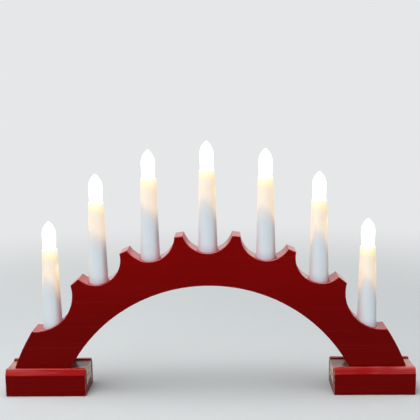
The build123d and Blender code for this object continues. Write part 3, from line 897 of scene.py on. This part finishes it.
def arcBetween(start, first, second, radius):
    # a quarter turn from one direction to the other
    steps = wiring["bendSteps"]
    centre = start + second * radius
    angles = [math.pi / 2 * i / steps for i in range(1, steps + 1)]
    return [centre + first * (radius * math.sin(a)) - second * (radius * math.cos(a)) for a in angles]


def riserPath(x, top, level, heading):
    # down from the lug, back through the hole and round into the lane
    down, back = Vector((0, 0, -1)), Vector((0, 1, 0))
    path = [Vector((x, 0, top)), Vector((x, 0, level + wiring["riserBend"]))]
    path += arcBetween(path[-1], down, back, wiring["riserBend"])
    path.append(Vector((x, wiring["laneY"] - wiring["laneBend"], level)))
    return path + arcBetween(path[-1], back, heading, wiring["laneBend"])


def laneRiser(x, top, radius, heading):
    angle = laneAngle(x, radius, heading)
    level = lanePoint(radius, angle).z + heading * wiring["laneBend"] * math.sin(angle)
    return riserPath(x, top, level, alongLane(angle, heading)), angle


def laneArc(radius, start, end):
    steps = max(2, round(abs(end - start) / wiring["laneStep"]))
    return [lanePoint(radius, start + (end - start) * i / steps) for i in range(1, steps)]


def layWire(name, path, node):
    line = polyline(name, [tuple(point * mm) for point in path])
    wire = grow(name, wireTree, line, "wireCover", Radius=wiring["radius"] * mm, Sides=wiring["sides"])
    dress(wire, "root", node)


innerLane, outerLane = grooveRadius - wiring["laneOffset"], grooveRadius + wiring["laneOffset"]
for index in range(stationCount - 1):
    first, startAngle = laneRiser(stationX(index, 1), stationSeat(index) + lowerLug, innerLane, 1)
    last, endAngle = laneRiser(stationX(index + 1, -1), stationSeat(index + 1) + upperLug, innerLane, -1)
    path = first + laneArc(innerLane, startAngle, endAngle) + last[::-1]
    layWire(f"seriesLink_{index + 1}", path, f"series_link_{index + 1}")

# past the last station the lanes run straight on, down to the lead's inlet
tailAngle = math.asin(stationX(-1) / grooveRadius)
tailStart = lanePoint(grooveRadius, tailAngle)
tailWay = alongLane(tailAngle)
tailSide = Vector((math.sin(tailAngle), 0, math.cos(tailAngle)))
inlet = tailStart + tailWay * ((tailStart.z - wiring["inletZ"]) / math.sin(tailAngle))


def inletEnd(shift):
    reach = wiring["boardBack"] - wiring["laneY"]
    start = inlet - tailWay * reach + tailSide * shift
    return [start] + arcBetween(start, tailWay, Vector((0, 1, 0)), reach)


supplyX = stationX(-1, 1)
joinX = supplyX + wiring["laneBend"] * tailWay.x
origin = tailStart - tailSide * wiring["laneOffset"]
supplyLevel = (origin + tailWay * ((joinX - origin.x) / tailWay.x)).z - wiring["laneBend"] * tailWay.z
supply = riserPath(supplyX, stationSeat(-1) + lowerLug, supplyLevel, tailWay)
layWire("supplyCore", supply + inletEnd(-wiring["laneOffset"]), "supply_core")
returnPath, startAngle = laneRiser(stationX(0, -1), stationSeat(0) + upperLug, outerLane, 1)
returnPath += laneArc(outerLane, startAngle, tailAngle) + [lanePoint(outerLane, tailAngle)]
layWire("returnCore", returnPath + inletEnd(wiring["laneOffset"]), "return_core")
print("wiring laid")


# staples across the groove

staple = {"wire": 0.4, "span": 9.0, "leg": 6.0, "bend": 1.0, "sides": 10}


def stapleMaster(s):
    # crown across X at the board's back, legs forward into the wood; lies at the origin
    half, crown, bend = s["span"] / 2 - s["wire"], s["wire"], s["bend"]
    points = [(-half, crown - s["leg"])]
    points += roundedCorner((-half + bend, crown - bend), bend, 180, 90)
    points += roundedCorner((half - bend, crown - bend), bend, 90, 0)
    points.append((half, crown - s["leg"]))
    line = polyline("staple", [(0.0, y * mm, x * mm) for x, y in points])
    return grow("stapleMaster", wireTree, line, "zincSteel", Radius=s["wire"] * mm, Sides=s["sides"])


hub = (0.0, wiring["boardBack"] * mm, grooveCentre * mm)
staplePoints = []
for index in range(stationCount - 1):
    angle = sum(math.asin(stationX(i) / grooveRadius) for i in (index, index + 1)) / 2
    x, z = grooveRadius * math.sin(angle), grooveCentre + grooveRadius * math.cos(angle)
    staplePoints.append((x * mm, hub[1], z * mm))
scatter("wireStaples", stapleMaster(staple), staplePoints, "wire_staples", Hub=hub)


# foot screws: countersunk, cross recess, coarse wood thread

screw = {
    "length": 36.0, "point": 3.0, "plain": 10.0, "headRadius": 3.5, "columns": 40,
    "tipProfile": [(0.0, 0.0), (0.25, 0.5), (1.35, 3.6)],
    "headProfile": [
        (1.35, -2.7), (1.55, -2.4), (3.4, -0.35), (3.5, -0.2), (3.5, -0.05), (3.4, 0.0), (0.0, 0.0),
    ],
    # the recess's two blades: half their sizes at the mouth, then (share of that size, height) of both ends
    "blades": [(1.287, 0.33), (0.37125, 1.144)], "bladeEnds": [(0.45, -1.7), (1.0, 0.5)],
    "thread": {"crest": 1.7, "root": 1.3, "pitch": 1.5, "lead": 0.8},
    "threadCounts": {"Columns": 24, "Rows": 120},
}


def recessCutter(s):
    work = bmesh.new()
    for long, across in s["blades"]:
        corners = [(-long, -across), (long, -across), (long, across), (-long, across)]
        foot, mouth = (
            [work.verts.new((x * share * mm, y * share * mm, height * mm)) for x, y in corners]
            for share, height in s["bladeEnds"]
        )
        work.faces.new(foot[::-1])
        work.faces.new(mouth)
        for i in range(4):
            j = (i + 1) % 4
            work.faces.new((foot[i], foot[j], mouth[j], mouth[i]))
    return newPiece("recessCutter", meshFrom(work, "recessCutter"))


def screwMaster(s):
    # built upright with its head at z = 0, then laid along Y with the head to the back
    profile = lifted(s["tipProfile"], -s["length"]) + s["headProfile"]
    body = turned("screwMaster", profile, (0.0, 0.0, 0.0), "zincSteel", s["columns"])
    cutter = recessCutter(s)
    cut = body.modifiers.new("recess", "BOOLEAN")
    cut.operation, cut.object, cut.solver, cut.use_self = "DIFFERENCE", cutter, "EXACT", True
    settle(body)
    place, height = (0.0, 0.0, (s["point"] - s["length"]) * mm), s["length"] - s["point"] - s["plain"]
    thread = rolledThread("screwThread", s["thread"], place, height, "zincSteel", **s["threadCounts"])
    work = bmesh.new()
    work.from_mesh(thread.data)
    bmesh.ops.holes_fill(work, edges=work.edges, sides=0)
    work.from_mesh(body.data)
    bmesh.ops.recalc_face_normals(work, faces=work.faces)
    shadeByAngle(work, "turned")
    work.transform(layDown)
    body.data = meshFrom(work, "screwMaster", finishes["zincSteel"])
    for spare in (cutter, thread):
        bpy.data.objects.remove(spare)
    return body


low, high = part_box("foot_screws")
edgeGap = low.x + screw["headRadius"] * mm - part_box("back_bar_left")[0].x
screwPoints = []
for node in ("back_bar_left", "back_bar_right"):
    barLow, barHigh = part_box(node)
    for x in (barLow.x + edgeGap, barHigh.x - edgeGap):
        screwPoints.append((x, high.y, (low.z + high.z) / 2))
scatter("footScrews", screwMaster(screw), screwPoints, "foot_screws", Follow=0.0)


# lead bush

bush = {
    "bore": 3.2, "body": 4.6, "flange": 5.8, "flangeThickness": 1.4, "length": 7.0, "rounding": 0.5,
    "chamfer": 0.3, "easing": 0.2, "columns": 48,
}


def bushProfile(b):
    bottom, under, rounding, easing = -b["length"], -b["flangeThickness"], b["rounding"], b["easing"]
    profile = [(b["bore"], bottom + b["chamfer"]), (b["bore"] + b["chamfer"], bottom)]
    profile += [(b["body"] - easing, bottom), (b["body"], bottom + easing), (b["body"], under)]
    profile += roundedCorner((b["flange"] - easing, under + easing), easing, -90, 0, 2)
    profile += roundedCorner((b["flange"] - rounding, -rounding), rounding, 0, 90)
    profile += roundedCorner((b["bore"] + rounding, -rounding), rounding, 90, 180)
    return profile + profile[:1]


leadBush = turned("leadBush", bushProfile(bush), (0.0, 0.0, 0.0), "bushWhite", bush["columns"])
low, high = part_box("lead_bush")
mouth = Matrix.Translation(((low.x + high.x) / 2, high.y, (low.z + high.z) / 2))
leadBush.data.transform(mouth @ layDown)
dress(leadBush, "root", "lead_bush")
print("staples, screws and bush made")


# floor, light and camera

stage = {
    "floorRadius": 3.2, "segments": 96, "floor": rgb(202, 207, 210), "wall": rgb(230, 231, 232), "seen": 1.0,
    "fill": 0.30, "fade": (0.26, 1.0), "speckles": ((60, 4), (0.3, 0.7)), "speckle": 0.03,
}


def seenStrength(bench, look):
    # the pale background as the camera, metal and glass see it; less of it as light on matt surfaces
    ray = bench.add("ShaderNodeLightPath", out="Is Camera Ray")
    seen = bench.maths("MAXIMUM", ray, ray.sister("Is Glossy Ray"))
    seen = bench.maths("MAXIMUM", seen, ray.sister("Is Transmission Ray"))
    return look["fill"] + (look["seen"] - look["fill"]) * seen


def floorRecipe(bench, look):
    # a matt floor that runs out into the background's colour
    place = bench.place()
    distance = bench.add("ShaderNodeVectorMath", {0: place}, "Value", operation="LENGTH")
    speckle = bench.patches(place, *look["speckles"]) * look["speckle"]
    floor = bench.mixColour(speckle, look["floor"], look["wall"])
    matt = bench.add("ShaderNodeBsdfDiffuse", {"Color": floor})
    plain = bench.add("ShaderNodeEmission", {"Color": look["wall"], "Strength": seenStrength(bench, look)})
    surface = bench.add("ShaderNodeMixShader", {0: distance.fade(*look["fade"]), 1: matt, 2: plain})
    bench.add("ShaderNodeOutputMaterial", {"Surface": surface})


def roomRecipe(bench, look):
    feeds = {"Color": look["wall"], "Strength": seenStrength(bench, look)}
    bench.add("ShaderNodeOutputWorld", {"Surface": bench.add("ShaderNodeBackground", feeds)})


disc = bmesh.new()
bmesh.ops.create_circle(disc, cap_ends=True, segments=stage["segments"], radius=stage["floorRadius"])
floorFinish = withNodes(bpy.data.materials.new("studioFloor"), floorRecipe, stage)
newPiece("studioFloor", meshFrom(disc, "studioFloor", floorFinish))
bpy.context.scene.world = withNodes(bpy.data.worlds.new("studioRoom"), roomRecipe, stage)

# place, aim, size, power and colour
lights = {
    "overheadLight": ((-0.20, -0.15, 1.45), (0.0, 0.0, 0.10), 1.1, 22.0, (1.0, 0.99, 0.97)),
    "frontLight": ((-1.10, -1.90, 1.10), (0.0, 0.0, 0.12), 1.4, 8.5, (0.97, 0.98, 1.0)),
}
for name, (at, towards, size, power, colour) in lights.items():
    light = bpy.data.lights.new(name, "AREA")
    light.shape, light.size, light.energy, light.color = "SQUARE", size, power, colour
    aim = (Vector(towards) - Vector(at)).to_track_quat("-Z", "Y").to_matrix().to_4x4()
    newPiece(name, light).matrix_world = Matrix.Translation(at) @ aim

# the photograph's camera
view = {
    "lens": 64.95, "sensor": 36.0, "clip": 0.01, "at": (0.02172, -0.72323, 0.2915), "pitch": 8.71,
    "yaw": -1.51, "roll": 0.85,
}
pitch, yaw, roll = (math.radians(view[key]) for key in ("pitch", "yaw", "roll"))
forward = Vector((math.sin(yaw) * math.cos(pitch), math.cos(yaw) * math.cos(pitch), -math.sin(pitch)))
level = Vector((math.cos(yaw), -math.sin(yaw), 0))
drop = forward.cross(level)
right = math.cos(roll) * level + math.sin(roll) * drop
down = math.cos(roll) * drop - math.sin(roll) * level
cameraData = bpy.data.cameras.new("photoView")
cameraData.lens, cameraData.sensor_width, cameraData.clip_start = view["lens"], view["sensor"], view["clip"]
camera = newPiece("photoView", cameraData)
camera.matrix_world = Matrix.Translation(view["at"]) @ Matrix((right, -down, -forward)).transposed().to_4x4()
bpy.context.scene.camera = camera
bpy.context.scene.view_settings.view_transform = "Standard"
print("stage set")

bpy.context.view_layer.update()
